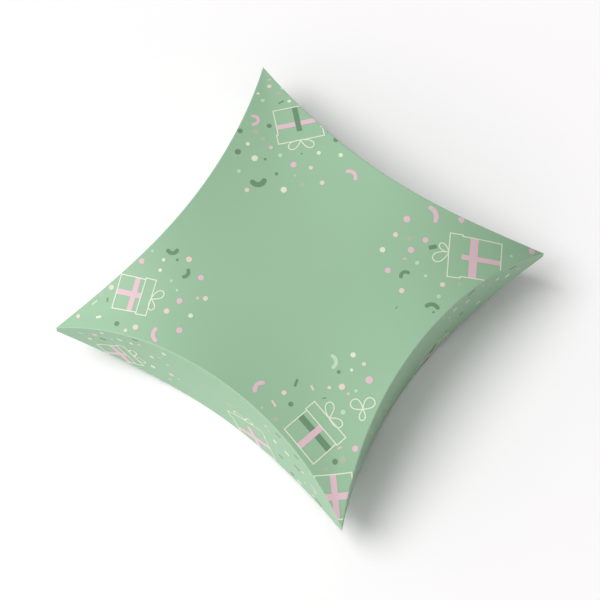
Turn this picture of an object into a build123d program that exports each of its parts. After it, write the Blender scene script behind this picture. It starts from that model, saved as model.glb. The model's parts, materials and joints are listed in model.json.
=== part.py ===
from build123d import *
import os
from math import acos, cos, exp, hypot, log, sin, sqrt

# Square pillow box, folded from one die-cut sheet of card. Millimetres, +Z up.
# The origin is on the floor under the middle of the box. The front wall faces -Y.
# Two square panels with hollow sides, each bent towards its four corners, are joined at
# the rear by a curved wall. On the other three sides a closure flap folds down from the
# top panel and covers a shorter tuck flap that folds up from the bottom panel.

# The box: corner point to corner point along a side, how far each side bends in at its
# middle, the height over the middle of the sides and over the corner points, the card
side = 150.0
side_hollow = 17.5
height = 46.0
corner_height = 3.0
board = 0.45

# The top panel: how gradually its bends start, how rounded they are where two of them
# meet, and how deep it sinks in from its stiff creases over how long a run
bend_start = 12.0
bend_round = 4.0
dish_depth = 4.2
dish_run = 34.0
top_grid_step = 5.0

# The tuck flaps: height at the middle and at the ends, and how far they end from a corner
tuck_depth = 25.0
tuck_shoulder = 4.0
tuck_setback = 13.0

# Clearances: beside a crease, between the flaps, at a corner and above the floor
crease_gap = 0.15
flap_gap = 0.3
mitre_gap = 0.15
floor_gap = 0.3

# Seen from above, each side is an arc through two corner points and its hollow middle
middle_reach = side / 2 - side_hollow
side_radius = ((side / 2) ** 2 + side_hollow ** 2) / (2 * side_hollow)
arc_centre_reach = middle_reach + side_radius

# Each panel is flat as far as the square through the middles of its sides. Past that it
# bends towards the corner point in one arc along the diagonal.
flat_reach = middle_reach / sqrt(2)
bend_run = side / sqrt(2) - flat_reach
bend_drop = (height - corner_height) / 2
bend_radius = (bend_run ** 2 + bend_drop ** 2) / (2 * bend_drop)

# Outside of a tuck flap, measured in from the outside of the closure flap over it
tuck_inset = board + flap_gap


def side_bow(along):
    """How much further out a side lies at a distance along it than at its middle."""
    return side_radius - sqrt(side_radius ** 2 - along ** 2)


def bend_level(along):
    """Height of the underside at the foot of a wall, at a distance along it."""
    past_flat = (along + middle_reach + side_bow(along)) / sqrt(2) - flat_reach
    return bend_radius - sqrt(bend_radius ** 2 - past_flat ** 2)


def arc_drop(radius, run):
    """How far an arc that starts level has dropped after a run."""
    return radius - sqrt(radius ** 2 - run ** 2)


def top_run(x, y):
    """How far over a point of the plan the top panel has run into its bend."""
    def across(x, y):
        return (hypot(x, bend_round) + hypot(y, bend_round)) / sqrt(2)
    return bend_start * log(1 + exp((across(x, y) - across(middle_reach, 0)) / bend_start))


top_bend_run = top_run(side / 2, side / 2)
top_bend_radius = (top_bend_run ** 2 + bend_drop ** 2) / (2 * bend_drop)


def top_dish(x, y):
    """How far over a point of the plan the top panel has sunk in from its creases."""
    centres = ((0, -arc_centre_reach), (arc_centre_reach, 0), (0, arc_centre_reach), (-arc_centre_reach, 0))
    from_sides = [hypot(x - cx, y - cy) - side_radius for cx, cy in centres]
    nearest = min(from_sides)
    if nearest > 0:
        nearest = sum(distance ** -4 for distance in from_sides) ** -0.25
    return dish_depth * (1 - exp(-nearest / dish_run))


def top_level(x, y):
    """Height of the top panel's outside over a point of the plan."""
    crest = height + arc_drop(top_bend_radius, top_run(middle_reach, 0))
    return crest - arc_drop(top_bend_radius, top_run(x, y)) - top_dish(x, y)


def top_point(x, y, inset):
    """A point of the top panel's outside, moved square to it into the card by a distance."""
    step = 0.01
    slope_x = (top_level(x + step, y) - top_level(x - step, y)) / (2 * step)
    slope_y = (top_level(x, y + step) - top_level(x, y - step)) / (2 * step)
    outwards = Vector(-slope_x, -slope_y, 1).normalized()
    return Vector(x, y, top_level(x, y)) - outwards * inset


def below_top(inset):
    """Everything below the top panel's outside, set in by a distance."""
    count = round(side / top_grid_step / 2) + 1
    lines = [top_grid_step * number for number in range(-count, count + 1)]
    cover = Face.make_surface_from_array_of_points([[top_point(x, y, inset) for y in lines] for x in lines])
    return extrude(cover, 2 * height, dir=(0, 0, -1))


def upright(face):
    """A prism over a face that runs past the top and the underside of the box."""
    return Pos(0, 0, height / 2) * extrude(face, height, both=True)


def above_underside(inset):
    """Everything above the bottom panel's outside, set in by a distance."""
    radius = bend_radius - inset
    turn = acos((bend_radius - height / 2) / radius)
    tip = (flat_reach + radius * sin(turn), height / 2)
    shoulder = (flat_reach + radius * sin(turn / 2), bend_radius - radius * cos(turn / 2))
    with BuildSketch(Plane.XZ) as profile:
        with BuildLine():
            Line((0, inset), (flat_reach, inset))
            ThreePointArc((flat_reach, inset), shoulder, tip)
            Polyline(tip, (tip[0], 2 * height), (0, 2 * height))
            mirror(about=Plane.YZ)
        make_face()
    bridge = extrude(profile.sketch, side, both=True)
    return (Rot(0, 0, 45) * bridge) & (Rot(0, 0, -45) * bridge)


def plan(flap_side_inset, rear_inset):
    """A prism inside the four hollow sides, each set in from the outside of its wall."""
    outline = Rectangle(side, side)
    for turn, inset in ((-90, flap_side_inset), (0, flap_side_inset), (90, flap_side_inset), (180, rear_inset)):
        outline -= Rot(0, 0, turn) * Pos(0, -arc_centre_reach) * Circle(side_radius + inset)
    return upright(outline)


def wall_sheet(inset):
    """A curved sheet of card along the front, between the diagonals to two corners."""
    ring = Circle(side_radius + inset + board) - Circle(side_radius + inset)
    mitre = mitre_gap * sqrt(2)
    sector = make_face(Polyline((0, -mitre), (mitre - side, -side), (side - mitre, -side), close=True))
    return upright((Pos(0, -arc_centre_reach) * ring) & sector)


def top_panel():
    return plan(board + crease_gap, board) & (under_top - below_top(board))


def bottom_panel():
    sheet = above_underside(0) - above_underside(board)
    return plan(tuck_inset + board + crease_gap, board) & sheet & Box(2 * side, 2 * side, height)


def rear_wall():
    return Rot(0, 0, 180) * (wall_sheet(0) & above_underside(0)) & under_top


def closure_flap():
    """The front's outer wall, from the top panel's crease to just above the underside."""
    return wall_sheet(0) & (Pos(0, 0, floor_gap) * above_underside(0)) & under_top


def tuck_flap():
    """The front's inner flap, with square ends and a crowned free edge."""
    end = side / 2 - tuck_setback
    end_level = bend_level(end) + tuck_shoulder
    with BuildSketch(Plane.XZ) as profile:
        with BuildLine():
            Polyline((-end, end_level), (-end, -height), (end, -height), (end, end_level))
            ThreePointArc((end, end_level), (0, tuck_depth), (-end, end_level))
        make_face()
    return wall_sheet(tuck_inset) & above_underside(0) & extrude(profile.sketch, side)


under_top = below_top(0)
parts = {
    "top_panel": top_panel(),
    "bottom_panel": bottom_panel(),
    "rear_wall": rear_wall(),
}
for place, turn in (("front", 0), ("right", 90), ("left", -90)):
    parts[place + "_closure_flap"] = Rot(0, 0, turn) * closure_flap()
    parts[place + "_tuck_flap"] = Rot(0, 0, turn) * tuck_flap()

os.makedirs("parts", exist_ok=True)
for name, solid in parts.items():
    export_step(solid, "parts/" + name + ".step")
    print(name, round(solid.volume, 1), "cubic millimetres")
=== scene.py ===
# %% [markdown]
# # A square pillow box in printed card
# The real box is one sheet of folding boxboard, printed, covered with a thin matt film,
# die-cut and folded up without glue. Two square panels with hollow sides face each other,
# and curved walls close the gap between them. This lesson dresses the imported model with
# real card: sheets with a thickness, folds with a radius, a raw white inside, and a party
# print that lies on the surface and ends cleanly at the folds.

# %% Load the frame
import json
import math

import bmesh
import bpy
import numpy as np
from mathutils import Matrix, Vector
from mathutils.kdtree import KDTree


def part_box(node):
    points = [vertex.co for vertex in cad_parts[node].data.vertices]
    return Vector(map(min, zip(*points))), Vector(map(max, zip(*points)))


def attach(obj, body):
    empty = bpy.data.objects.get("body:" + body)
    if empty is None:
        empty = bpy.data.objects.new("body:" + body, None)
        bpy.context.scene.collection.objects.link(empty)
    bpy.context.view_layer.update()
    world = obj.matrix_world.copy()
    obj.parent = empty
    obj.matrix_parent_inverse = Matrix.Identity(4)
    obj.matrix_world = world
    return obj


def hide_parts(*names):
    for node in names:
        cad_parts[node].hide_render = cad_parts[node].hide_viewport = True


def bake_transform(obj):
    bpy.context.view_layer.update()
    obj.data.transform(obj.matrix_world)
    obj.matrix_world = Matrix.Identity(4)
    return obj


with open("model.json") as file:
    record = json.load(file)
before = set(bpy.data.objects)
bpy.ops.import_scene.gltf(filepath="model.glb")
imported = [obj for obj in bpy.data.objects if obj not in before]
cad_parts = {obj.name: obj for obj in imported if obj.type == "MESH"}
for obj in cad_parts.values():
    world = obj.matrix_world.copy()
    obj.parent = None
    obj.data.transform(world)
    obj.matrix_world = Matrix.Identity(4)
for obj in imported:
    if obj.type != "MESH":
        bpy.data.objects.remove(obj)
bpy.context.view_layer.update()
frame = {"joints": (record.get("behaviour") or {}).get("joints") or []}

# %% [markdown]
# ## Sizes
# The hinges tell where the folds are: a closure flap's hinge runs through the middle of its
# curved crease, at the full height of the box. Everything else about the shape follows from
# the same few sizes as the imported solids. Blender works in metres, so sizes that a maker
# would give in millimetres are written times MM.

# %% Sizes of the box
MM = 0.001
SIDE = 150 * MM
CORNER_HEIGHT = 3 * MM
hinge = {joint["name"]: Vector(joint["pos_m"]) for joint in frame["joints"]}
MIDDLE_REACH = -hinge["front_closure_fold"].y
HEIGHT = hinge["front_closure_fold"].z
TUCK_INSET = MIDDLE_REACH + hinge["front_tuck_fold"].y
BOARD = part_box("front_closure_flap")[1].y + MIDDLE_REACH
FLOOR_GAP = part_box("front_closure_flap")[0].z
TUCK_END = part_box("front_tuck_flap")[1].x
TUCK_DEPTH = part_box("front_tuck_flap")[1].z
TUCK_SHOULDER = 4 * MM
WALL_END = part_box("front_closure_flap")[1].x

hollow = SIDE / 2 - MIDDLE_REACH
SIDE_RADIUS = ((SIDE / 2) ** 2 + hollow ** 2) / (2 * hollow)
ARC_CENTRE = MIDDLE_REACH + SIDE_RADIUS
FLAT_REACH = MIDDLE_REACH / math.sqrt(2)
bend_run = SIDE / math.sqrt(2) - FLAT_REACH
bend_drop = (HEIGHT - CORNER_HEIGHT) / 2
BEND_RADIUS = (bend_run ** 2 + bend_drop ** 2) / (2 * bend_drop)
print("board %.2f mm, side radius %.1f mm, bend radius %.1f mm" %
      (BOARD / MM, SIDE_RADIUS / MM, BEND_RADIUS / MM))

# %% [markdown]
# ## The form of the card
# The bottom panel is flat in the middle and bends down to each corner point in one arc. The
# top panel can't do quite the same. Card bends gradually, so its bends start softly. Its
# curved folds are stiff and hold the rim up, so the card sinks in between them, as a shallow
# dish that runs out into a valley along each corner. That makes the light change across the
# top. It is one height function, because the print has to lie on the same surface later.

# %% Height of the panels
BEND_START = 12 * MM
BEND_ROUND = 4 * MM
DISH_DEPTH = 4.2 * MM
DISH_RUN = 34 * MM
DISH_BLEND = 4
FOLD = 0.4 * MM
SIDE_CENTRES = ((0, -ARC_CENTRE), (ARC_CENTRE, 0), (0, ARC_CENTRE), (-ARC_CENTRE, 0))


def arc_drop(radius, run):
    """How far an arc that starts level has dropped after a run."""
    return radius - np.sqrt(radius ** 2 - np.square(run))


def reach(along, inset=0.0):
    """How far from the middle of the box a side lies, at a distance along it."""
    return ARC_CENTRE - np.sqrt((SIDE_RADIUS + inset) ** 2 - np.square(along))


def bottom_level(x, y):
    """Height of the underside, flat as far as the square through the middles of the sides."""
    past_flat = (np.abs(x) + np.abs(y)) / math.sqrt(2) - FLAT_REACH
    return arc_drop(BEND_RADIUS, np.clip(past_flat, 0, None))


def diagonal_reach(x, y):
    """How far out along the nearest diagonal a point is, rounded where two bends meet."""
    return (np.hypot(x, BEND_ROUND) + np.hypot(y, BEND_ROUND)) / math.sqrt(2)


def top_run(x, y):
    """How far the top panel has run into its bend over a point."""
    past_middle = diagonal_reach(x, y) - diagonal_reach(MIDDLE_REACH, 0)
    return BEND_START * np.logaddexp(0, past_middle / BEND_START)


def from_sides(x, y, inset=0.0):
    """Distances in from the front, right, rear and left side, negative outside the box."""
    return np.stack([np.hypot(x - cx, y - cy) - SIDE_RADIUS - inset for cx, cy in SIDE_CENTRES])


def top_dish(x, y):
    """How far the top panel has sunk in from its folds."""
    distances = from_sides(x, y)
    nearest = distances.min(0)
    inside = (np.clip(distances, 1e-6, None) ** -DISH_BLEND).sum(0) ** (-1 / DISH_BLEND)
    return DISH_DEPTH * (1 - np.exp(-np.where(nearest > 0, inside, nearest) / DISH_RUN))


corner_run = float(top_run(SIDE / 2, SIDE / 2))
TOP_RADIUS = (corner_run ** 2 + bend_drop ** 2) / (2 * bend_drop)
CREST = HEIGHT + float(arc_drop(TOP_RADIUS, top_run(MIDDLE_REACH, 0)))


def top_level(x, y):
    """Height of the top panel's outside, before its rim rounds over into a fold."""
    return CREST - arc_drop(TOP_RADIUS, top_run(x, y)) - top_dish(x, y)


def fold_drop(distance):
    """How far the card has rounded over at a distance in from a fold."""
    return FOLD - np.sqrt(np.clip(FOLD ** 2 - np.square(FOLD - np.clip(distance, 0, FOLD)), 0, None))


print("middle of the top %.1f mm up, its corner points %.1f mm" %
      (float(top_level(0, 0)) / MM, float(top_level(SIDE / 2, SIDE / 2)) / MM))

# %% [markdown]
# ## Sheets of card
# Each sheet is two grids of points, an outer face and an inner face, joined round their rims.
# Two grids keep the card's real thickness, and let the print side, the bare inside and the
# cut edge have finishes of their own. The grid lines crowd together near a fold, where the
# card turns through a right angle within half a millimetre.

# %% Grids and sheets
FOLD_STEPS = np.array((0, 0.03, 0.1, 0.2, 0.33, 0.5, 0.8, 1.4, 2.4, 4.0)) * MM
EVEN_STEPS = 72
TIP_ROUNDS = 40
SHARP_EDGE = math.radians(50)
near = 1 - FOLD_STEPS / MIDDLE_REACH
even = np.linspace(-near[-1], near[-1], EVEN_STEPS + 1)
PANEL_LINES = np.concatenate([-near[:-1], even, near[-2::-1]])


def tip(inset_a, inset_b):
    """Where the arcs of two neighbouring sides cross, as reaches towards each of them."""
    out_a, out_b = SIDE / 2, SIDE / 2
    for _ in range(TIP_ROUNDS):
        out_a = float(reach(out_b, inset_a))
        out_b = float(reach(out_a, inset_b))
    return out_a, out_b


def plan_patch(flap_inset, rear_inset):
    """Points of a panel's outline and inside, row by row from front to rear."""
    a, b = np.meshgrid(PANEL_LINES, PANEL_LINES)
    front_y, front_x = tip(flap_inset, flap_inset)
    rear_y, rear_x = tip(rear_inset, flap_inset)
    share = (b + 1) / 2
    x = a * reach(share * rear_y - (1 - share) * front_y, flap_inset)
    y = share * reach(a * rear_x, rear_inset) - (1 - share) * reach(a * front_x, flap_inset)
    return x, y


def in_scene(name, data):
    """A new object with that data, in the scene."""
    piece = bpy.data.objects.new(name, data)
    bpy.context.scene.collection.objects.link(piece)
    return piece


def sheet_mesh(name, outer, inner, finishes, wear):
    """A closed sheet of card from an outer and an inner grid of points."""
    rows, columns = outer.shape[:2]
    count = rows * columns
    points = np.concatenate([outer.reshape(-1, 3), inner.reshape(-1, 3)])
    index = np.arange(count).reshape(rows, columns)
    a, b, c, d = index[:-1, :-1], index[:-1, 1:], index[1:, 1:], index[1:, :-1]
    outside = np.stack([a, b, c, d], -1).reshape(-1, 4)
    inside = outside[:, ::-1] + count
    ring = np.concatenate([index[0, :-1], index[:-1, -1], index[-1, :0:-1], index[:0:-1, 0]])
    following = np.roll(ring, -1)
    rim = np.stack([following, ring, ring + count, following + count], -1)
    faces = np.concatenate([outside, inside, rim])
    mesh = bpy.data.meshes.new(name)
    mesh.from_pydata(points.tolist(), [], faces.tolist())
    kinds = np.repeat([0, 1, 2], [len(outside), len(inside), len(rim)])
    mesh.polygons.foreach_set("material_index", kinds.astype(np.int32))
    for finish in finishes:
        mesh.materials.append(finish)
    values = np.concatenate([wear.ravel(), np.zeros(count)]).astype(np.float32)
    mesh.attributes.new("fold_wear", "FLOAT", "POINT").data.foreach_set("value", values)
    shell = bmesh.new()
    shell.from_mesh(mesh)
    bmesh.ops.recalc_face_normals(shell, faces=shell.faces)
    shell.to_mesh(mesh)
    shell.free()
    mesh.shade_smooth()
    mesh.set_sharp_from_angle(angle=SHARP_EDGE)
    return in_scene(name, mesh)


print("points of a panel's face:", len(PANEL_LINES) ** 2)

# %% [markdown]
# ## Finishes
# One helper adds a node with its settings and links. A colour is written as the sRGB value
# that a paint card or a picture editor shows, and turned to linear light once.

# %% Helpers for materials


def linear(hex_colour):
    """An sRGB hex colour as linear red, green, blue and alpha."""
    channels = [int(hex_colour[i:i + 2], 16) / 255 for i in (1, 3, 5)]
    return [c / 12.92 if c <= 0.04045 else ((c + 0.055) / 1.055) ** 2.4 for c in channels] + [1.0]


def add_node(tree, kind, settings=None, links=None, **attributes):
    """Adds a node, sets its attributes and socket values, and links its inputs."""
    node = tree.nodes.new(kind)
    for name, value in attributes.items():
        setattr(node, name, value)
    for socket, value in (settings or {}).items():
        node.inputs[socket].default_value = value
    for socket, source in (links or {}).items():
        tree.links.new(source, node.inputs[socket])
    return node


def new_material(name, roughness):
    """A material with a Principled BSDF, its tree and that shader."""
    material = bpy.data.materials.new(name)
    material.use_nodes = True
    shader = material.node_tree.nodes["Principled BSDF"]
    shader.inputs["Roughness"].default_value = roughness
    return material, material.node_tree, shader


def finish_shader(tree, shader, colour, height, strength, depth):
    """Gives a shader its colour, and a relief of a depth in metres."""
    bump = add_node(tree, "ShaderNodeBump", {"Strength": strength, "Distance": depth}, {"Height": height})
    tree.links.new(bump.outputs["Normal"], shader.inputs["Normal"])
    tree.links.new(colour, shader.inputs["Base Color"])


def mottled(tree, place, settings, colour, shade):
    """A colour that drifts to a shade of it in a noise, and that noise."""
    noise = add_node(tree, "ShaderNodeTexNoise", settings, {"Vector": place})
    tone = add_node(tree, "ShaderNodeMix", {"A": linear(colour), "B": linear(shade)},
                    {"Factor": noise.outputs["Fac"]}, data_type="RGBA")
    return tone.outputs["Result"], noise.outputs["Fac"]


# %% [markdown]
# ### Matt film over print
# Boxes of this kind are printed offset and then covered with a matt polypropylene film. The
# film (IOR about 1.5) has a soft, wide highlight, so roughness sits near 0.45. Its haze also
# takes shine away from walls that are seen edge on, so the specular level is below the usual
# 0.5. Through it the eye still reads the faint orange-peel of the board's coating. Film and ink
# are pale and slightly broken where the board was folded, so a wear attribute lightens the folds.

# %% Print finishes
FILM_ROUGHNESS = 0.46
FILM_IOR = 1.5
FILM_SHINE = 0.3
PEEL_SIZE = 1.6 * MM
CLOUD_SIZE = 28 * MM
SCUFF_SIZE = 0.9 * MM


def film_over_print(name, colour, shade, worn=None):
    """Ink under matt film: a slow, faint change of tone, and pale wear along the folds."""
    material, tree, shader = new_material(name, FILM_ROUGHNESS)
    shader.inputs["IOR"].default_value = FILM_IOR
    shader.inputs["Specular IOR Level"].default_value = FILM_SHINE
    place = add_node(tree, "ShaderNodeTexCoord").outputs["Object"]
    peel = add_node(tree, "ShaderNodeTexNoise", {"Scale": 1 / PEEL_SIZE, "Detail": 3.0, "Roughness": 0.6},
                    {"Vector": place})
    clouds = {"Scale": 1 / CLOUD_SIZE, "Detail": 4.0, "Roughness": 0.7}
    result, _ = mottled(tree, place, clouds, colour, shade)
    if worn:
        wear = add_node(tree, "ShaderNodeAttribute", attribute_name="fold_wear")
        scuff = add_node(tree, "ShaderNodeTexNoise", {"Scale": 1 / SCUFF_SIZE, "Detail": 2.0},
                         {"Vector": place})
        amount = add_node(tree, "ShaderNodeMath", links={0: wear.outputs["Fac"], 1: scuff.outputs["Fac"]},
                          operation="MULTIPLY")
        faded = add_node(tree, "ShaderNodeMix", {"B": linear(worn)},
                         {"Factor": amount.outputs["Value"], "A": result}, data_type="RGBA")
        result = faded.outputs["Result"]
    finish_shader(tree, shader, result, peel.outputs["Fac"], strength=0.08, depth=0.02 * MM)
    return material


mint_print = film_over_print("matt_laminated_mint_print", "#97BC9B", "#94B999", worn="#B7D4BA")
INK_COLOURS = {
    "pink": ("#DFBFC8", "#DAB7C1"), "cream": ("#DFE5D1", "#D9E0C8"), "blush": ("#E4D3C8", "#DDCABF"),
    "forest": ("#6C8E70", "#66886A"), "leaf": ("#BCDBBB", "#B3D3B3"), "dust": ("#B0B9A7", "#A9B5A0"),
}
INKS = {ink: film_over_print("matt_laminated_" + ink + "_ink", *pair) for ink, pair in INK_COLOURS.items()}
INK_ORDER = list(INKS)
print("inks:", ", ".join(INK_ORDER))

# %% [markdown]
# ### Bare board
# The inside is uncoated: warm white pulp with a tooth that scatters light (roughness near
# 0.9) and short fibres a shade darker. The cut edge shows the same pulp, greyer in the middle
# layers, and is too thin for more than that.

# %% Board finishes
BOARD_ROUGHNESS = 0.88
FIBRE_SIZE = 0.7 * MM
FIBRE_STRETCH = (1.0, 0.35, 1.0)


def bare_board(name, colour, fibre_colour):
    material, tree, shader = new_material(name, BOARD_ROUGHNESS)
    place = add_node(tree, "ShaderNodeTexCoord").outputs["Object"]
    along = add_node(tree, "ShaderNodeMapping", {"Scale": FIBRE_STRETCH}, {"Vector": place})
    fibres = {"Scale": 1 / FIBRE_SIZE, "Detail": 5.0, "Roughness": 0.75}
    tone, fibre = mottled(tree, along.outputs["Vector"], fibres, colour, fibre_colour)
    finish_shader(tree, shader, tone, fibre, strength=0.25, depth=0.04 * MM)
    return material


CARD_FINISHES = (mint_print, bare_board("uncoated_boxboard_inside", "#F1EEE4", "#E2DCCD"),
                 bare_board("cut_boxboard_edge", "#DDE6D8", "#C9D3C5"))
print("finishes of the card:", ", ".join(finish.name for finish in CARD_FINISHES))

# %% [markdown]
# ## Panels and walls
# The top panel's outer face rounds over at its rim and meets the flaps 0.4 mm further down,
# so a closed box shows one continuous fold, a little worn, and no gap. The bottom panel is
# made the same way, without the dish, because it lies on the table.

# %% The two panels
FOLD_WEAR_WIDTH = 0.35 * MM


def fold_wear(distance):
    """One at a fold, falling to zero a little way in from it."""
    return np.clip(1 - distance / FOLD_WEAR_WIDTH, 0, 1)


def panel(name, flap_inset, rear_inset, level, up):
    """A panel of card: outer grid, inner grid one board thickness in, worn along its rim."""
    x, y = plan_patch(flap_inset, rear_inset)
    inner_x, inner_y = plan_patch(flap_inset + BOARD, rear_inset + BOARD)
    distances = from_sides(x, y, flap_inset)
    distances[2] += flap_inset - rear_inset
    distance = distances.min(0)
    outer = np.stack([x, y, level(x, y) - up * fold_drop(distance)], -1)
    inner = np.stack([inner_x, inner_y, level(inner_x, inner_y) - up * BOARD], -1)
    return sheet_mesh(name, outer, inner, CARD_FINISHES, fold_wear(distance))


top_card = panel("top_panel_card", 0.0, 0.0, top_level, 1)
bottom_card = panel("bottom_panel_card", TUCK_INSET, 0.0, bottom_level, -1)
for piece, node in ((top_card, "top_panel"), (bottom_card, "bottom_panel")):
    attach(piece, "shell")
    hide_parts(node)
    print(piece.name, len(piece.data.polygons), "faces")

# %% [markdown]
# Every wall is the same strip of card bent round an arc. It is made once, at the front, and
# turned into place. A closure flap reaches from the fold at the top to a cut edge just off
# the table, the rear wall runs from fold to fold, and a tuck flap has a crowned free edge.
# Nothing is glued, so a flap springs back a little: the front one leans out by 3 degrees.

# %% Walls and flaps
SIDES = {"front": 0, "right": 90, "rear": 180, "left": -90}
LEAN_OUT = {"front": math.tan(math.radians(3.1))}
WALL_ROWS = 24


def wall(name, side, inset, half_length, top_edge, foot, wear_at):
    """A curved sheet on a side between two edges, given as heights at a distance along."""
    lean = 0.0 if inset else LEAN_OUT.get(side, 0.0)
    lines = np.linspace(-1, 1, EVEN_STEPS + 1)
    rows = np.concatenate([FOLD_STEPS, np.linspace(FOLD_STEPS[-1], HEIGHT, WALL_ROWS)[1:]])

    def face(half_length, inset):
        """One face of the card, and how far down from its top edge each point is."""
        x = lines * half_length
        down = (top_edge(x) - foot(x)) * rows[:, None] / HEIGHT
        y = -reach(x, inset) - lean * down
        return np.stack(np.broadcast_arrays(x, y, top_edge(x) - down), -1), down

    outer, down = face(half_length, inset)
    inner, _ = face(half_length - BOARD * SIDE / 2 / (ARC_CENTRE - SIDE / 2), inset + BOARD)
    from_fold = {"top": down, "foot": down[-1] - down}
    wear = np.maximum.reduce([fold_wear(from_fold[edge]) for edge in wear_at])
    piece = sheet_mesh(name, outer, inner, CARD_FINISHES, wear)
    piece.data.transform(Matrix.Rotation(math.radians(SIDES[side]), 4, "Z"))
    return piece


def upper_fold(x):
    return top_level(x, reach(x)) - FOLD


def lower_fold(x):
    return bottom_level(x, reach(x)) + FOLD


def free_foot(x):
    return bottom_level(x, reach(x)) + FLOOR_GAP


def tuck_fold(x):
    return bottom_level(x, reach(x, TUCK_INSET)) + FOLD


def tuck_free_edge(x):
    """The crowned edge of a tuck flap: an arc through its ends and its full depth."""
    end_level = float(bottom_level(TUCK_END, reach(TUCK_END))) + TUCK_SHOULDER
    rise = TUCK_DEPTH - end_level
    radius = (TUCK_END ** 2 + rise ** 2) / (2 * rise)
    return TUCK_DEPTH - radius + np.sqrt(radius ** 2 - np.square(x))


cards = {"rear": wall("rear_wall_card", "rear", 0.0, WALL_END, upper_fold, lower_fold, ("top", "foot"))}
for side in ("front", "right", "left"):
    cards[side] = wall(side + "_closure_card", side, 0.0, WALL_END, upper_fold, free_foot, ("top",))
    cards[side + "_tuck"] = wall(side + "_tuck_card", side, TUCK_INSET, TUCK_END,
                                 tuck_free_edge, tuck_fold, ("foot",))
print("sheets of card:", len(cards) + 2)

# %% [markdown]
# ## Folding
# A rigid flap would tear off its curved crease, because it only stays on the hinge at one
# point. Real card flexes, and a flap with a curved crease has a second form that doesn't
# stretch it: the mirror image of the closed form in the plane of the crease. It snaps through
# to that form when it is opened. A point that lies an angle round the hinge from that plane
# turns by twice that angle on the way there, so each point of a flap gets its own share of
# the hinge's turn: none along the crease, all of it down the middle.

# %% Ride the rear wall on the shell, and lay the flaps out by their shares
slope = math.hypot(hollow, bend_drop)
SNAP_TURN = math.atan2(hollow, bend_drop)


def turn_share(points, side, kind):
    """How much of the hinge's turn each point makes, as rows facing the front.

    It is that of the card's outer face at the same height, so ink gets the same share as the card under
    it.
    """
    x, _, z = points.T
    axis = hinge["front_" + kind + "_fold"]
    inset, crease, down = (0.0, upper_fold, 1) if kind == "closure" else (TUCK_INSET, tuck_fold, -1)
    lean = 0.0 if inset else LEAN_OUT.get(side, 0.0)

    def place(level):
        """Distances along the crease's plane and off it."""
        out = reach(x, inset) + lean * (crease(x) - level) + axis.y
        fall = down * (axis.z - level)
        return (out * hollow + fall * bend_drop) / slope, (fall * hollow - out * bend_drop) / slope

    along, off = place(z)
    return np.clip(np.arctan2(off - place(crease(x))[1], along) / SNAP_TURN, 0, 1)


def follow_flap(piece, side, kind):
    """Lays a piece out by its points' shares of a flap's turn, with the soft step of a blend undone, then
    puts every point back where it was. The piece is not attached to any body.
    """
    turn_back = np.array(Matrix.Rotation(math.radians(-SIDES[side]), 3, "Z"))
    places = np.array([vertex.co for vertex in piece.data.vertices])
    share = turn_share(places @ turn_back.T, side, kind)
    laid_out = np.zeros_like(places)
    laid_out[:, 2] = 0.5 - np.sin(np.arcsin(1 - 2 * share) / 3)
    piece.data.vertices.foreach_set("co", laid_out.ravel())
    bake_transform(piece)
    piece.data.vertices.foreach_set("co", places.ravel())
    piece.data.update()


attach(cards["rear"], "shell")
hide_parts("rear_wall")
for side in ("front", "right", "left"):
    follow_flap(cards[side], side, "closure")
    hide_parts(side + "_closure_flap")
    follow_flap(cards[side + "_tuck"], side, "tuck")
    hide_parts(side + "_tuck_flap")

# %% [markdown]
# ## The print
# Each panel and each wall carries its own part of the pattern, and the pattern ends at the
# folds: a present near a fold is cut off there and doesn't carry on down the wall. Drawings
# are laid out flat in millimetres, on the top panel from its middle, and on a wall by the
# distance along it and the height. Each is made of strokes, cut into small tiles, and a tile
# that reaches past a fold is trimmed back to it.

# %% From the flat sheet to the folded box
INK_LIFT = 0.05 * MM
LAYER = 0.012 * MM
CROP = 0.22 * MM
EDGE_CLEAR = 0.25 * MM


def on_top(flat, lift):
    """Points of the flat sheet on the top panel, a little above the card."""
    def level(x, y):
        return top_level(x, y) - fold_drop(from_sides(x, y).min(0))
    x, y = flat.T
    step = 0.02 * MM
    rise_x = (level(x + step, y) - level(x - step, y)) / (2 * step)
    rise_y = (level(x, y + step) - level(x, y - step)) / (2 * step)
    normals = np.stack([-rise_x, -rise_y, np.ones_like(x)], -1)
    normals /= np.linalg.norm(normals, axis=1, keepdims=True)
    return np.stack([x, y, level(x, y)], -1) + normals * lift[:, None]


def on_wall(flat, lift, side):
    """Points given by their distance along a wall and their height, on that wall."""
    along, height = flat.T
    radius = SIDE_RADIUS - lift
    angle = along / SIDE_RADIUS
    leaning = LEAN_OUT.get(side, 0.0) * (upper_fold(SIDE_RADIUS * np.sin(angle)) - height)
    points = np.stack([radius * np.sin(angle), radius * np.cos(angle) - ARC_CENTRE - leaning, height], -1)
    turn = np.array(Matrix.Rotation(math.radians(SIDES[side]), 3, "Z"))
    return points @ turn.T


def trimmed_to_top(corners):
    """A tile's corners, moved back inside the folds of the panel, and whether any lay inside."""
    points = np.array(corners)
    inside = from_sides(*points.T).min(0) > CROP
    for centre in SIDE_CENTRES:
        away = points - centre
        points = centre + away * np.maximum(1, (SIDE_RADIUS + CROP) / np.hypot(*away.T))[:, None]
    return points, inside.any()


def trimmed_to_wall(corners):
    """A tile's corners, moved back inside the fold, foot and ends of a wall, and the same."""
    along, height = np.array(corners).T
    last = SIDE_RADIUS * math.asin((WALL_END - EDGE_CLEAR) / SIDE_RADIUS)
    held = np.clip(along, -last, last)
    x = SIDE_RADIUS * np.sin(held / SIDE_RADIUS)
    high, low = upper_fold(x), free_foot(x) + EDGE_CLEAR
    inside = (held == along) & (height < high) & (height > low)
    return np.stack([held, np.clip(height, low, high)], -1), inside.any()


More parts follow.
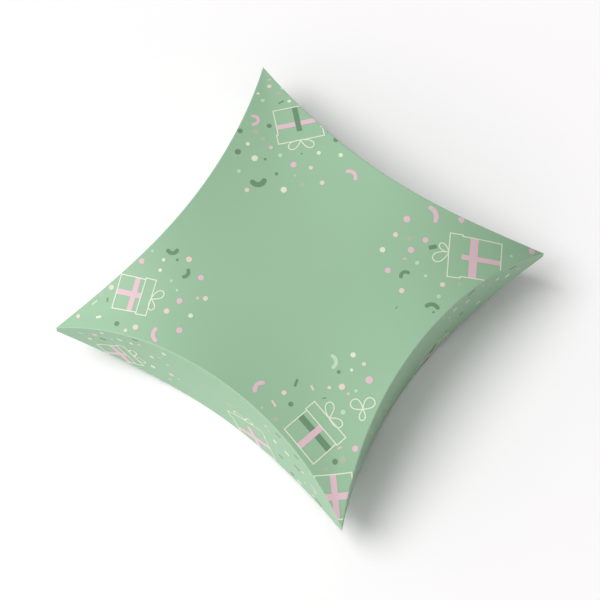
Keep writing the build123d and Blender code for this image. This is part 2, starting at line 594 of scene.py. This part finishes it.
# %% [markdown]
# A stroke is a band of tiles along a line, in millimetres. Almost everything in the print is
# drawn with it: thin cream outlines, wide pink ribbons, bows, streamers and dashes.

# %% Strokes
TILE = 0.8
MITRE_LIMIT = 0.5


def resampled(points):
    """The same line with a point at least every tile."""
    result = [Vector(points[0])]
    for start, end in zip(points, points[1:]):
        start, end = Vector(start), Vector(end)
        pieces = max(1, math.ceil((end - start).length / TILE))
        result += [start.lerp(end, i / pieces) for i in range(1, pieces + 1)]
    return result


def stroke(points, width, closed=False):
    """Tiles of a band along a line, as lists of corner points on the flat sheet."""
    line = resampled(points + points[:1] if closed else points)
    across = max(1, math.ceil(width / TILE))
    rows = []
    last = len(line) - 1
    for i, here in enumerate(line):
        before = line[i - 1] if i else (line[last - 1] if closed else here)
        after = line[i + 1] if i < last else (line[1] if closed else here)
        entry = (here - before).normalized()
        leave = (after - here).normalized()
        direction = (entry + leave).normalized()
        normal = Vector((-direction.y, direction.x))
        spread = 1 / max(MITRE_LIMIT, direction.dot(leave if leave.length else entry))
        rows.append([here + normal * width * spread * (j / across - 0.5) for j in range(across + 1)])
    return [[near[j], far[j], far[j + 1], near[j + 1]]
            for near, far in zip(rows, rows[1:]) for j in range(across)]


def disc(radius, centre=(0, 0), corners=14):
    """A round dot as a fan of tiles."""
    ring = arc_line(radius, 0, 360, centre, corners)
    return [[Vector(centre), here, following] for here, following in zip(ring, ring[1:])]


def arc_line(radius, start, end, centre=(0, 0), count=12):
    """Points along an arc between two angles in degrees."""
    angles = [math.radians(start + (end - start) * i / count) for i in range(count + 1)]
    return [Vector(centre) + radius * Vector((math.cos(t), math.sin(t))) for t in angles]


def loop_line(length, width, turn, start=(0, 0), count=24):
    """One loop of a bow, a drop shape from the knot out and back."""
    spin = Matrix.Rotation(math.radians(turn), 2)
    angles = [math.pi * i / count for i in range(count + 1)]
    shape = [(length * math.sin(t) ** 2, width * math.sin(2 * t) * math.sin(t)) for t in angles]
    return [Vector(start) + spin @ Vector(point) for point in shape]


# %% [markdown]
# ### A present
# A present is a box in outline with a lid, one ribbon each way, and a bow of two loops on the
# lid. Its outline is 0.5 mm wide, which is a usual line for a print of this size, and a little
# wider on the walls. Each stroke lies a hair above the one before it, so that no two inks
# share a surface.

# %% Motifs
LINE = 0.5
WALL_LINE = 0.75
LID_OVERHANG = 0.7
LOOP_WIDTH = 0.35


def present(width, depth, lid, band, cross_band=None, upright="pink", across="pink", crossing=0.2,
            lid_line=True, knot=0.0, loops=((6.2, 28), (6.2, 150)), line=LINE):
    """A wrapped present with its bow towards +Y, centred on its body: (ink, tiles) pairs.

    The first pair has no ink: it keeps the confetti out of the present.
    """
    w, d = width / 2, depth / 2
    out = w + LID_OVERHANG
    body = [(-w, d), (-w, -d), (w, -d), (w, d)]
    cap = [(out, d), (out, d + lid), (-out, d + lid), (-out, d)]
    drawing = [(None, stroke([(0, -d), (0, d + lid)], width)),
               (across, stroke([(-w, crossing * depth), (w, crossing * depth)], cross_band or band)),
               (upright, stroke([(0, -d), (0, d)], band))]
    if lid_line:
        drawing += [("cream", stroke(body, line)), ("cream", stroke(cap, line, closed=True))]
    else:
        drawing.append(("cream", stroke(body + cap, line, closed=True)))
    for length, turn in loops:
        loop = loop_line(length, LOOP_WIDTH * length, turn, (knot, d + lid))
        drawing.append(("cream", stroke(loop, line)))
    return drawing


def bow(length):
    """A loose bow of two large loops and a smaller, slimmer one."""
    loops = ((78, 1.0, 0.46), (180, 0.97, 0.46), (-59, 0.78, LOOP_WIDTH))
    return [("cream", stroke(loop_line(length * size, slim * length * size, turn), LINE))
            for turn, size, slim in loops]


def streamer(ink, radius, width, start, end):
    """A short curl of ribbon with round ends."""
    line = arc_line(radius, start, end)
    ends = [(ink, disc(width / 2, centre, corners=10)) for centre in (line[0], line[-1])]
    return [(ink, stroke(line, width)), *ends]


def dash(ink, length, width, turn=0):
    half = Matrix.Rotation(math.radians(turn), 2) @ Vector((length / 2, 0))
    return [(ink, stroke([-half, half], width))]


def dot(ink, radius):
    return [(ink, disc(radius))]


# %% [markdown]
# ### Laying out the sheet
# Presents sit near the four corners with their bows towards the middle, and the middle stays bare. The
# larger streamers, dashes and dots are listed one by one, and a few of them are cut off by a fold. The
# scattered specks of a later step fill in between them.

# %% Layout of the drawings
GREEN_UP = {"upright": "forest"}
GREEN_ACROSS = {"across": "forest"}
ON_WALL = {"line": WALL_LINE}
PRESENTS = {
    # x mm, y mm, turn in degrees, drawing
    "top": [
        (-44.1, 57.9, 226.5, present(18.6, 12.6, 4.5, 2.3, lid_line=False, knot=0.3,
                                     loops=((6.3, 28), (6.3, 141)), **GREEN_UP)),
        (-54.9, -47.9, -70, present(14.6, 10.8, 4.5, 2.3, knot=0.3, loops=((6.0, 131), (5.0, 21)))),
        (43.7, -54.2, -13, present(18.2, 12.4, 4.8, 2.7, knot=-0.6, loops=((6.7, 136), (6.2, 19)),
                                   **GREEN_ACROSS)),
        (56.8, 51.6, 120.5, present(18.5, 17, 5.5, 2.3, 3.5, lid_line=False, knot=1.2,
                                    loops=((5.2, 50), (7.6, 122)))),
        (65.6, -67.0, -138, present(15.6, 17, 4.5, 2.6, crossing=0)),
        (54.8, -32.3, 0, bow(6)),
    ],
    "front": [(-50.5, 13.9, -58, present(16, 11, 4, 2.4, **ON_WALL)),
              (19.4, 8.0, 26, present(20, 17, 4.5, 2.7, crossing=0, lid_line=False, **ON_WALL))],
    "right": [(12, 6, -120, present(17, 12, 4, 2.4, **GREEN_ACROSS, **ON_WALL))],
    "rear": [(-48, 14, -60, present(16, 12, 4, 2.6, **ON_WALL)),
             (44, 12, 40, present(16, 11, 4, 2.5, **GREEN_UP, **ON_WALL))],
    "left": [(-46, 13, 62, present(16, 12, 4, 2.6, **GREEN_UP, **ON_WALL)),
             (46, 12, -50, present(15, 11, 4, 2.4, **ON_WALL))],
}
STREAMERS = {
    # x mm, y mm, radius mm, width mm, first and last angle in degrees
    ("top", "pink"): [(-59.2, 46.6, 2.2, 1.5, -51, 132), (-9.3, 47.7, 2.8, 1.6, 22, 140),
        (-32.5, -55.2, 3.3, 1.7, 168, 268), (16.3, -50.2, 3, 1.8, 120, 225),
        (27.4, 52.7, 4.3, 2, 12, 98)],
    ("top", "forest"): [(-40.7, 24.8, 2.8, 2.3, -108, 16), (-51.1, -22, 2.1, 1.7, -117, 9),
        (-41.2, -27.6, 2.1, 1.6, -50, 55), (53.4, 19.1, 2.9, 1.8, 63, 167),
        (35.6, 25.6, 1.9, 1.5, 90, 225)],
    ("top", "leaf"): [(31.6, -23.9, 2.9, 1.6, -18, 98)],
    ("front", "pink"): [(54.6, 21.5, 2.9, 1.3, -15, 90)],
    ("right", "pink"): [(-50, 14, 2.4, 1.2, 40, 160)],
    ("rear", "pink"): [(30, 30, 2.3, 1.5, 40, 160)],
    ("left", "forest"): [(-29, 28, 2.3, 1.6, 10, 130)],
}
DASHES = {
    # x mm, y mm, length mm, width mm, turn in degrees if any
    ("top", "forest"): [(37.4, 43.2, 3.4, 1.8, 50), (25.8, -39.4, 3.3, 1.1, 106),
        (-61.3, -54.8, 1.8, 0.7, 120), (-55.1, 61.4, 2.6, 0.7, 64)],
    ("top", "blush"): [(32.5, -37.1, 2.3, 0.9, -27), (23.7, -52.1, 3.1, 0.8, -24)],
    ("top", "cream"): [(-60.2, -62.6, 2.3, 1, 38)],
    ("top", "leaf"): [(-65.5, -58.5, 2.8, 0.8, 67)],
    ("front", "leaf"): [(-66.2, 26, 2.6, 1.2)],
    ("front", "cream"): [(-48.4, 32.4, 2.4, 1.2), (38.2, 27.8, 2.8, 1.5), (47.1, 9.6, 2.8, 1.5)],
    ("front", "forest"): [(-56.2, 26.3, 2.8, 1.2), (-41.1, 39.4, 2.6, 1.2), (32.2, 38.4, 3, 1.3),
        (34.8, 15.6, 2.4, 1.4), (43.7, 36.2, 2.8, 1.3), (44.7, 23.5, 3.6, 1.3),
        (60.1, 14.8, 4.4, 1.2)],
    ("right", "forest"): [(61, 30.8, 3, 1.4), (37.6, 39.2, 4, 1.4), (-46, 27, 2.6, 1.2, -40)],
    ("right", "pink"): [(-27, 30, 2.6, 1.2, 30)],
}
DOTS = {
    # x mm, y mm, radius mm
    ("top", "pink"): [(-32.2, 39, 1.35), (-44.9, 40, 0.9), (21.5, 46.8, 1.5), (30.8, 36.6, 1.4),
        (33.2, 43.9, 1.25), (28.1, 23.4, 1.25), (40, 60.9, 1.35), (70.5, 71.2, 1.4), (49.8, -20.8, 1.6),
        (61.5, -47.1, 1.3), (-58.6, -33.8, 1.25), (-33.7, -25.3, 1.25), (-34.9, -38.8, 1.3),
        (-27.1, -49.4, 1.35)],
    ("top", "blush"): [(-25.3, 42.1, 0.9), (-17.3, 39.2, 1), (-41.3, 17.8, 1), (-64.9, 66.1, 1),
        (21.6, 38.3, 1.1), (38.1, 19.3, 1.15), (50.4, 31.7, 1.1), (42.2, -29.6, 1.35), (44, -16.4, 0.9),
        (38.1, -32.9, 0.75), (24.3, -45.8, 1.05), (-62.9, -49.7, 1.1), (-43.5, -58.4, 1.2),
        (-46.3, -61.7, 0.8), (-68.5, -66.5, 0.85), (-36.7, -45.5, 1.2), (-26.7, -31.6, 1.1),
        (-42.6, -21.8, 1.25)],
    ("top", "cream"): [(-47.4, 31.7, 1.4), (-28.8, 27.2, 1.35), (-53.9, 35.5, 0.9), (-18.1, 54, 0.95),
        (-26.5, 49.6, 0.9), (-59.4, 68.2, 0.7), (-52.4, 63.7, 0.8), (21, 29.6, 1.2), (38, -15.7, 1.15),
        (41.3, -21.4, 0.7), (-51.2, -28.2, 0.75), (-49.7, -32.6, 0.8), (-27.2, -41.4, 1)],
    ("top", "leaf"): [(-62.3, 57.8, 0.9), (-39.4, 39.3, 0.9), (-49.2, 22.7, 0.8), (36.2, 33.4, 0.9),
        (42.4, 30.7, 0.7), (52.2, 26.3, 0.85), (48.8, -38, 1.05), (48, -27.7, 0.7), (-43.1, -33.6, 0.6),
        (-38.6, -35.6, 0.6)],
    ("top", "forest"): [(-51.9, 48.3, 1.1), (-55, 29.8, 1.35), (-43.6, 34, 0.6), (-35.6, 31.3, 0.75),
        (-24, 58.6, 1.1), (-60.4, 38.7, 1.2), (37.4, -25.2, 0.8), (29.4, -48.1, 1.05), (57.7, -56.1, 1.2),
        (-51.4, -61.2, 1.1), (-46.5, -24.9, 0.6)],
    ("top", "dust"): [(-58.9, 64.7, 1.1), (-54.8, 42.4, 1.4), (-49.9, 41.6, 1.2), (-23.6, 33.8, 0.95),
        (27.4, 40.4, 1.1), (59.9, -53.6, 1.4), (56.6, -60.7, 0.9), (28.3, -57.1, 1.2), (-64.7, -54.3, 1.1),
        (55.9, 36.3, 0.9)],
    ("front", "pink"): [(-59.8, 28.6, 1.3), (-25.2, 9.5, 0.9)],
    ("front", "blush"): [(-33.6, 27.3, 1.2), (-24.5, 16.4, 1.2), (-39.3, 35.5, 0.7)],
    ("front", "cream"): [(-62.4, 22, 1), (-56.4, 33.6, 0.8), (-43.1, 33.2, 0.9), (-27.7, 38, 1.1),
        (-33.4, 15.3, 1.2), (30.8, 27, 1.2)],
    ("front", "leaf"): [(-26.2, 26.6, 0.8), (-52, 29.5, 0.7), (25, 35, 0.9), (50.5, 17, 0.8)],
    ("front", "forest"): [(42.4, 9.6, 1.2)],
    ("right", "blush"): [(-18.3, 14.4, 1.2), (-41.1, 11, 1.2), (28.3, 35.7, 1.2), (36, 30.9, 1.2),
        (43.6, 15, 1.3)],
    ("right", "pink"): [(-30.7, 9, 1.4), (-24.5, 18, 1), (64.5, 24, 0.9)],
    ("right", "cream"): [(58.7, 24, 1.3), (53, 29.1, 1), (-34, 24, 1)],
    ("right", "forest"): [(33.3, 19.9, 1.2)],
}
print("presents on the sheet:", sum(map(len, PRESENTS.values())) - 1)

# %% [markdown]
# Each drawing's tiles are turned, moved, scaled to metres and trimmed, and slivers too thin
# to see are left out. Then every piece of print is folded in one go.

# %% Fold the drawings onto the card
tiles = {place: [] for place in ("top", *SIDES)}
kept_bare = {place: [] for place in tiles}
SMALLEST_TILE = 0.004 * MM * MM
WELD = 0.004 * MM


def tile_area(points):
    x, y = points.T
    return abs(x @ np.roll(y, 1) - y @ np.roll(x, 1)) / 2


def lay_out(place, x, y, turn, drawing):
    """Adds a drawing's tiles to a place, trimmed to it."""
    spin = Matrix.Rotation(math.radians(turn), 2)
    trimmed = trimmed_to_top if place == "top" else trimmed_to_wall
    for layer, (ink, faces) in enumerate(drawing):
        wanted = tiles if ink else kept_bare
        for face in faces:
            corners, inside = trimmed([(spin @ Vector(corner) + Vector((x, y))) * MM for corner in face])
            if inside and tile_area(corners) > SMALLEST_TILE:
                wanted[place].append((ink, INK_LIFT + layer * LAYER, corners))


for place, rows in PRESENTS.items():
    for row in rows:
        lay_out(place, *row)
for draw, table in ((streamer, STREAMERS), (dash, DASHES), (dot, DOTS)):
    for (place, ink), rows in table.items():
        for x, y, *sizes in rows:
            lay_out(place, x, y, 0, draw(ink, *sizes))


def folded(place, faces):
    """The corners of all the tiles of a place, on the folded card."""
    flat = np.concatenate([corners for _, _, corners in faces])
    lift = np.array([lift for _, lift, corners in faces for _ in corners])
    return on_top(flat, lift) if place == "top" else on_wall(flat, lift, place)


def print_piece(name, place):
    """One piece of print from the tiles of a place."""
    faces = tiles[place]
    ends = np.cumsum([len(corners) for _, _, corners in faces])
    index = [list(range(end - len(corners), end)) for end, (_, _, corners) in zip(ends.tolist(), faces)]
    mesh = bpy.data.meshes.new(name)
    mesh.from_pydata(folded(place, faces).tolist(), [], index)
    mesh.polygons.foreach_set("material_index", [INK_ORDER.index(ink) for ink, _, _ in faces])
    for ink in INK_ORDER:
        mesh.materials.append(INKS[ink])
    film = bmesh.new()
    film.from_mesh(mesh)
    bmesh.ops.remove_doubles(film, verts=film.verts, dist=WELD)
    film.to_mesh(mesh)
    film.free()
    return in_scene(name, mesh)


prints = {place: print_piece(place + "_print", place) for place in tiles}
for place, piece in prints.items():
    print(piece.name, len(piece.data.polygons), "tiles")

# %% [markdown]
# ## Confetti
# Scattered flecks repeat over a surface, which is work for Geometry Nodes. One tree scatters points over a
# sheet's outer face, thinned by an attribute that says where there is room, and puts a dot, a dash or a
# curl on each with one of the inks. Where dots were listed one by one there is only room for specks
# between them, and the other walls take larger flecks. A fixed seed gives the same confetti each time.

# %% Fleck shapes
CURL_CENTRE = 0.8
BLUNT_END = 0.12
ROUND_POWER = 5


def fleck_object(name, faces):
    """A small flat shape of ink, to be scattered and then removed."""
    film = bmesh.new()
    for face in faces:
        film.faces.new([film.verts.new((p[0] * MM, p[1] * MM, INK_LIFT)) for p in face])
    bmesh.ops.remove_doubles(film, verts=film.verts, dist=WELD)
    mesh = bpy.data.meshes.new(name)
    film.to_mesh(mesh)
    film.free()
    return bpy.data.objects.new(name, mesh)


def bean_faces(radius, width, start, end):
    """A curl with round ends in one piece: a stroke whose width closes to nothing."""
    centre = Vector((0, -CURL_CENTRE * radius))
    line = arc_line(radius, start, end, centre, count=14)
    rows = []
    for i, here in enumerate(line):
        share = 2 * i / (len(line) - 1) - 1
        half = width / 2 * math.sqrt(max(BLUNT_END, 1 - abs(share) ** ROUND_POWER))
        outward = (here - centre).normalized()
        rows.append((here - outward * half, here + outward * half))
    return [[near[0], far[0], far[1], near[1]] for near, far in zip(rows, rows[1:])]


FLECKS = {
    "dot": fleck_object("dot_fleck", disc(1.15)),
    "dash": fleck_object("dash_fleck", stroke([(-1.3, 0), (1.3, 0)], 0.8)),
    "curl": fleck_object("curl_fleck", bean_faces(2.1, 1.7, 25, 155)),
}
CONFETTI_MIX = [("dot", "pink"), ("dot", "blush"), ("dot", "cream"), ("dot", "forest"), ("dot", "pink"),
                ("dot", "dust"), ("dash", "leaf"), ("dot", "cream"), ("curl", "pink"), ("dot", "leaf"),
                ("dash", "cream"), ("dot", "blush"), ("dot", "dust"), ("dash", "forest"), ("dot", "cream")]

# %% [markdown]
# The tree has named inputs for its spacing, its density, the size of the flecks and its seed.
# The export drops instances, so the flecks are realized before each gets its ink.

# %% The scattering tree
KIND_SEED, SIZE_SEED, TURN_SEED = 7, 11, 13
TREE_INPUTS = {"Geometry": "Geometry", "Spacing": "Float", "Density": "Float", "Smallest": "Float",
               "Largest": "Float", "Seed": "Int"}
tree = scatter_tree = bpy.data.node_groups.new("confetti_scatter", "GeometryNodeTree")
for name, kind in TREE_INPUTS.items():
    tree.interface.new_socket(name, in_out="INPUT", socket_type="NodeSocket" + kind)
tree.interface.new_socket("Geometry", in_out="OUTPUT", socket_type="NodeSocketGeometry")
given = add_node(tree, "NodeGroupInput").outputs
room = add_node(tree, "GeometryNodeInputNamedAttribute", {"Name": "confetti_room"}, data_type="FLOAT")
scatter = add_node(tree, "GeometryNodeDistributePointsOnFaces", links={
    "Mesh": given["Geometry"], "Distance Min": given["Spacing"], "Density Max": given["Density"],
    "Density Factor": room.outputs["Attribute"], "Seed": given["Seed"]},
    distribute_method="POISSON").outputs
last_kind = len(CONFETTI_MIX) - 1
kind_of = add_node(tree, "FunctionNodeRandomValue", {"Min": 0, "Max": last_kind, "Seed": KIND_SEED},
                   data_type="INT").outputs["Value"]
size_of = add_node(tree, "FunctionNodeRandomValue", {"Seed": SIZE_SEED},
                   {"Min": given["Smallest"], "Max": given["Largest"]}, data_type="FLOAT").outputs["Value"]
turn_of = add_node(tree, "FunctionNodeRandomValue", {"Min": 0.0, "Max": 2 * math.pi, "Seed": TURN_SEED},
                   data_type="FLOAT").outputs["Value"]
turn = add_node(tree, "ShaderNodeCombineXYZ", links={"Z": turn_of})
joined = add_node(tree, "GeometryNodeJoinGeometry")
for number, (fleck, ink) in enumerate(CONFETTI_MIX):
    chosen = add_node(tree, "FunctionNodeCompare", {"B": number}, {"A": kind_of},
                      data_type="INT", operation="EQUAL")
    shape = add_node(tree, "GeometryNodeObjectInfo", {"Object": FLECKS[fleck]})
    node = add_node(tree, "GeometryNodeInstanceOnPoints", links={
        "Points": scatter["Points"], "Selection": chosen.outputs["Result"], "Scale": size_of,
        "Instance": shape.outputs["Geometry"], "Rotation": scatter["Rotation"]})
    node = add_node(tree, "GeometryNodeRotateInstances",
                    links={"Instances": node.outputs["Instances"], "Rotation": turn.outputs["Vector"]})
    node = add_node(tree, "GeometryNodeRealizeInstances", links={"Geometry": node.outputs["Instances"]})
    node = add_node(tree, "GeometryNodeSetMaterial", {"Material": INKS[ink]},
                    {"Geometry": node.outputs["Geometry"]})
    tree.links.new(node.outputs["Geometry"], joined.inputs["Geometry"])
add_node(tree, "NodeGroupOutput", links={"Geometry": joined.outputs["Geometry"]})
print("confetti tree:", len(scatter_tree.nodes), "nodes")

# %% [markdown]
# Room for confetti is full near the corners. It falls to nothing towards the middle, and
# there is none close to a fold, a cut edge or a drawing.

# %% Room for the flecks
FULL_REACH = 52 * MM
CONFETTI_REACH = 78 * MM
KEEP_OFF_FOLD = 1.5 * MM
KEEP_OFF_DRAWING = 1.6 * MM
END_SHARE = 0.7


def room_on(points, place, drawn):
    """How much confetti each point of a sheet's outer face takes, from 0 to 1."""
    x, y, z = points.T
    corner = np.hypot(SIDE / 2 - np.abs(x), SIDE / 2 - np.abs(y))
    room = np.clip((CONFETTI_REACH - corner) / (CONFETTI_REACH - FULL_REACH), 0, 1)
    if place == "top":
        edge = from_sides(x, y).min(0)
    else:
        along = np.minimum(np.where(np.abs(x) < np.abs(y), np.abs(x), np.abs(y)), WALL_END)
        from_end = (WALL_END - along) * END_SHARE
        edge = np.minimum.reduce([upper_fold(along) - z, z - free_foot(along), from_end])
    room[edge < KEEP_OFF_FOLD] = 0
    tree = KDTree(len(drawn))
    for number, corner_point in enumerate(drawn.tolist()):
        tree.insert(corner_point, number)
    tree.balance()
    for number in np.flatnonzero(room).tolist():
        if tree.find(points[number].tolist())[2] < KEEP_OFF_DRAWING:
            room[number] = 0
    return room


# %% [markdown]
# The sheet's outer face is copied, split so finely that the room near a drawing is sharp, and
# scattered over. The result becomes a plain mesh, and the copy is thrown away.

# %% Scatter the confetti
WIDE_EDGE = 1.2 * MM
FLECK_SPACING = 4 * MM
SPECKS = {"Spacing": FLECK_SPACING, "Density": 5000.0, "Smallest": 0.35, "Largest": 0.65}
WALL_FLECKS = {"Spacing": FLECK_SPACING, "Density": 18000.0, "Smallest": 0.6, "Largest": 1.05}


def outer_face(card):
    """The outer face of a sheet, split finer, as a mesh to scatter on."""
    base = bmesh.new()
    base.from_mesh(card.data)
    rest = [face for face in base.faces if face.material_index != 0]
    bmesh.ops.delete(base, geom=rest, context="FACES")
    wide = [edge for edge in base.edges if edge.calc_length() > WIDE_EDGE]
    bmesh.ops.subdivide_edges(base, edges=wide, cuts=1, use_grid_fill=True)
    mesh = bpy.data.meshes.new("scatter_face")
    base.to_mesh(mesh)
    base.free()
    return mesh


def applied(piece):
    """A piece's mesh with its modifiers applied."""
    depsgraph = bpy.context.evaluated_depsgraph_get()
    return bpy.data.meshes.new_from_object(piece.evaluated_get(depsgraph))


def scattered(name, card, place, **inputs):
    """Confetti over one sheet, as a plain mesh."""
    base = in_scene(name + "_base", outer_face(card))
    points = np.array([vertex.co for vertex in base.data.vertices])
    room = room_on(points, place, folded(place, tiles[place] + kept_bare[place]))
    layer = base.data.attributes.new("confetti_room", "FLOAT", "POINT")
    layer.data.foreach_set("value", room.astype(np.float32))
    modifier = base.modifiers.new("confetti", "NODES")
    modifier.node_group = scatter_tree
    for item in scatter_tree.interface.items_tree:
        if item.in_out == "INPUT" and item.name in inputs:
            modifier[item.identifier] = inputs[item.name]
    mesh = applied(base)
    mesh.name = name
    bpy.data.objects.remove(base)
    return in_scene(name, mesh)


confetti = {"top": scattered("top_confetti", top_card, "top", Seed=4, **SPECKS)}
for number, side in enumerate(SIDES):
    flecks = SPECKS if side in ("front", "right") else WALL_FLECKS
    confetti[side] = scattered(side + "_confetti", cards[side], side, Seed=20 + number, **flecks)
for fleck in FLECKS.values():
    bpy.data.objects.remove(fleck)
for place, piece in confetti.items():
    print(piece.name, len(piece.data.polygons), "faces")

# %% [markdown]
# Film of no thickness has no inside, so each layer of ink is made a closed film. Ink on the top panel and
# the rear wall then rides on the shell with the card below it. Ink on a flap is laid out by its shares as
# its card is, and stays where it is.

# %% Close the films, and let those on the shell ride
FILM = 0.03 * MM


def close_film(piece):
    """Gives flat ink a thickness, as a plain mesh."""
    thick = piece.modifiers.new("film", "SOLIDIFY")
    thick.thickness = FILM
    thick.offset = -1
    mesh = applied(piece)
    piece.modifiers.remove(thick)
    piece.data = mesh


for place in tiles:
    for piece in (prints[place], confetti[place]):
        close_film(piece)
        if place in ("top", "rear"):
            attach(piece, "shell")
        else:
            follow_flap(piece, place, "closure")

# %% [markdown]
# ## Floor, light and camera
# The photograph is taken from high above one corner with a long lens. The light is soft and
# comes from the left: a large lamp makes the short, blurred shadow, and a room that is
# brighter on that side shades the card gently. The floor is plain white paper. Together they
# light a level surface at about 1, so a colour renders about as it is written.

# %% Directions in the picture
CAMERA_AZIMUTH = math.radians(35.83)
CAMERA_ELEVATION = 71.0
CAMERA_DISTANCE = 1.0645
FOCAL_PIXELS = 2482.5
CENTRE_PIXEL = (301.2, 292.1)
IMAGE_SIZE = 600
SENSOR = 36.0
middle = Vector((0, 0, HEIGHT / 2))
image_right = Vector((math.cos(CAMERA_AZIMUTH), math.sin(CAMERA_AZIMUTH), 0))
image_away = Vector((-math.sin(CAMERA_AZIMUTH), math.cos(CAMERA_AZIMUTH), 0))


def direction(degrees_to_viewer, elevation):
    """A direction from the box, turned from the picture's left towards the viewer and up."""
    turn, level = math.radians(degrees_to_viewer), math.radians(elevation)
    sideways = -image_right * math.cos(turn) - image_away * math.sin(turn)
    return sideways * math.cos(level) + Vector((0, 0, math.sin(level)))


# %% The floor
FLOOR_SIZE = 4.0
FLOOR_DROP = 0.05 * MM
mesh = bpy.data.meshes.new("floor")
half = FLOOR_SIZE / 2
corners = [(x, y, -FLOOR_DROP) for x, y in ((-half, -half), (half, -half), (half, half), (-half, half))]
mesh.from_pydata(corners, [], [(0, 1, 2, 3)])
paper, _, shader = new_material("white_paper_sweep", 0.9)
shader.inputs["Base Color"].default_value = linear("#FEFCFD")
shader.inputs["Specular IOR Level"].default_value = 0.0
mesh.materials.append(paper)
floor = in_scene("floor", mesh)

# %% The lamp
KEY_POWER = 240
KEY_SIZE = 4.0
KEY_DISTANCE = 6.0
TO_KEY = (-6, 59)


def facing_box(name, data, out, distance):
    """A lamp or a camera at a distance in a direction from the box, turned to face it."""
    holder = in_scene(name, data)
    holder.location = middle + out * distance
    holder.rotation_euler = out.to_track_quat("Z", "Y").to_euler()
    return holder


lamp = bpy.data.lights.new("key_light", "AREA")
lamp.shape = "DISK"
lamp.size = KEY_SIZE
lamp.energy = KEY_POWER
facing_box("key_light", lamp, direction(*TO_KEY), KEY_DISTANCE)

# %% [markdown]
# The room is brighter towards one side, and white where the camera sees it.

# %% The room
ROOM_LEVEL = 0.49
ROOM_SLOPE = 0.60
TO_BRIGHT_SIDE = (30, 0)
world = bpy.data.worlds.new("soft_room")
world.use_nodes = True
tree = world.node_tree
ray = add_node(tree, "ShaderNodeTexCoord").outputs["Generated"]
facing = add_node(tree, "ShaderNodeVectorMath", {1: direction(*TO_BRIGHT_SIDE)}, {0: ray},
                  operation="DOT_PRODUCT")
level = add_node(tree, "ShaderNodeMath", {1: ROOM_SLOPE, 2: ROOM_LEVEL}, {0: facing.outputs["Value"]},
                 operation="MULTIPLY_ADD")
path = add_node(tree, "ShaderNodeLightPath")
seen = path.outputs["Is Camera Ray"]
for kind in ("Is Glossy Ray", "Is Transmission Ray"):
    rays = {0: seen, 1: path.outputs[kind]}
    seen = add_node(tree, "ShaderNodeMath", links=rays, operation="MAXIMUM").outputs["Value"]
strength = add_node(tree, "ShaderNodeMix", {"B": 1.0}, {"Factor": seen, "A": level.outputs["Value"]},
                    data_type="FLOAT")
tree.links.new(strength.outputs["Result"], tree.nodes["Background"].inputs["Strength"])
tree.nodes["Background"].inputs["Color"].default_value = (1, 1, 1, 1)
bpy.context.scene.world = world

# %% Camera
camera_data = bpy.data.cameras.new("camera")
camera_data.sensor_width = SENSOR
camera_data.lens = FOCAL_PIXELS / IMAGE_SIZE * SENSOR
camera_data.shift_x = -(CENTRE_PIXEL[0] - IMAGE_SIZE / 2) / IMAGE_SIZE
camera_data.shift_y = (CENTRE_PIXEL[1] - IMAGE_SIZE / 2) / IMAGE_SIZE
camera_data.clip_start = 0.01
camera_data.clip_end = 20
to_viewer = direction(90, CAMERA_ELEVATION)
bpy.context.scene.camera = facing_box("camera", camera_data, to_viewer, CAMERA_DISTANCE)
bpy.context.scene.view_settings.view_transform = "Standard"
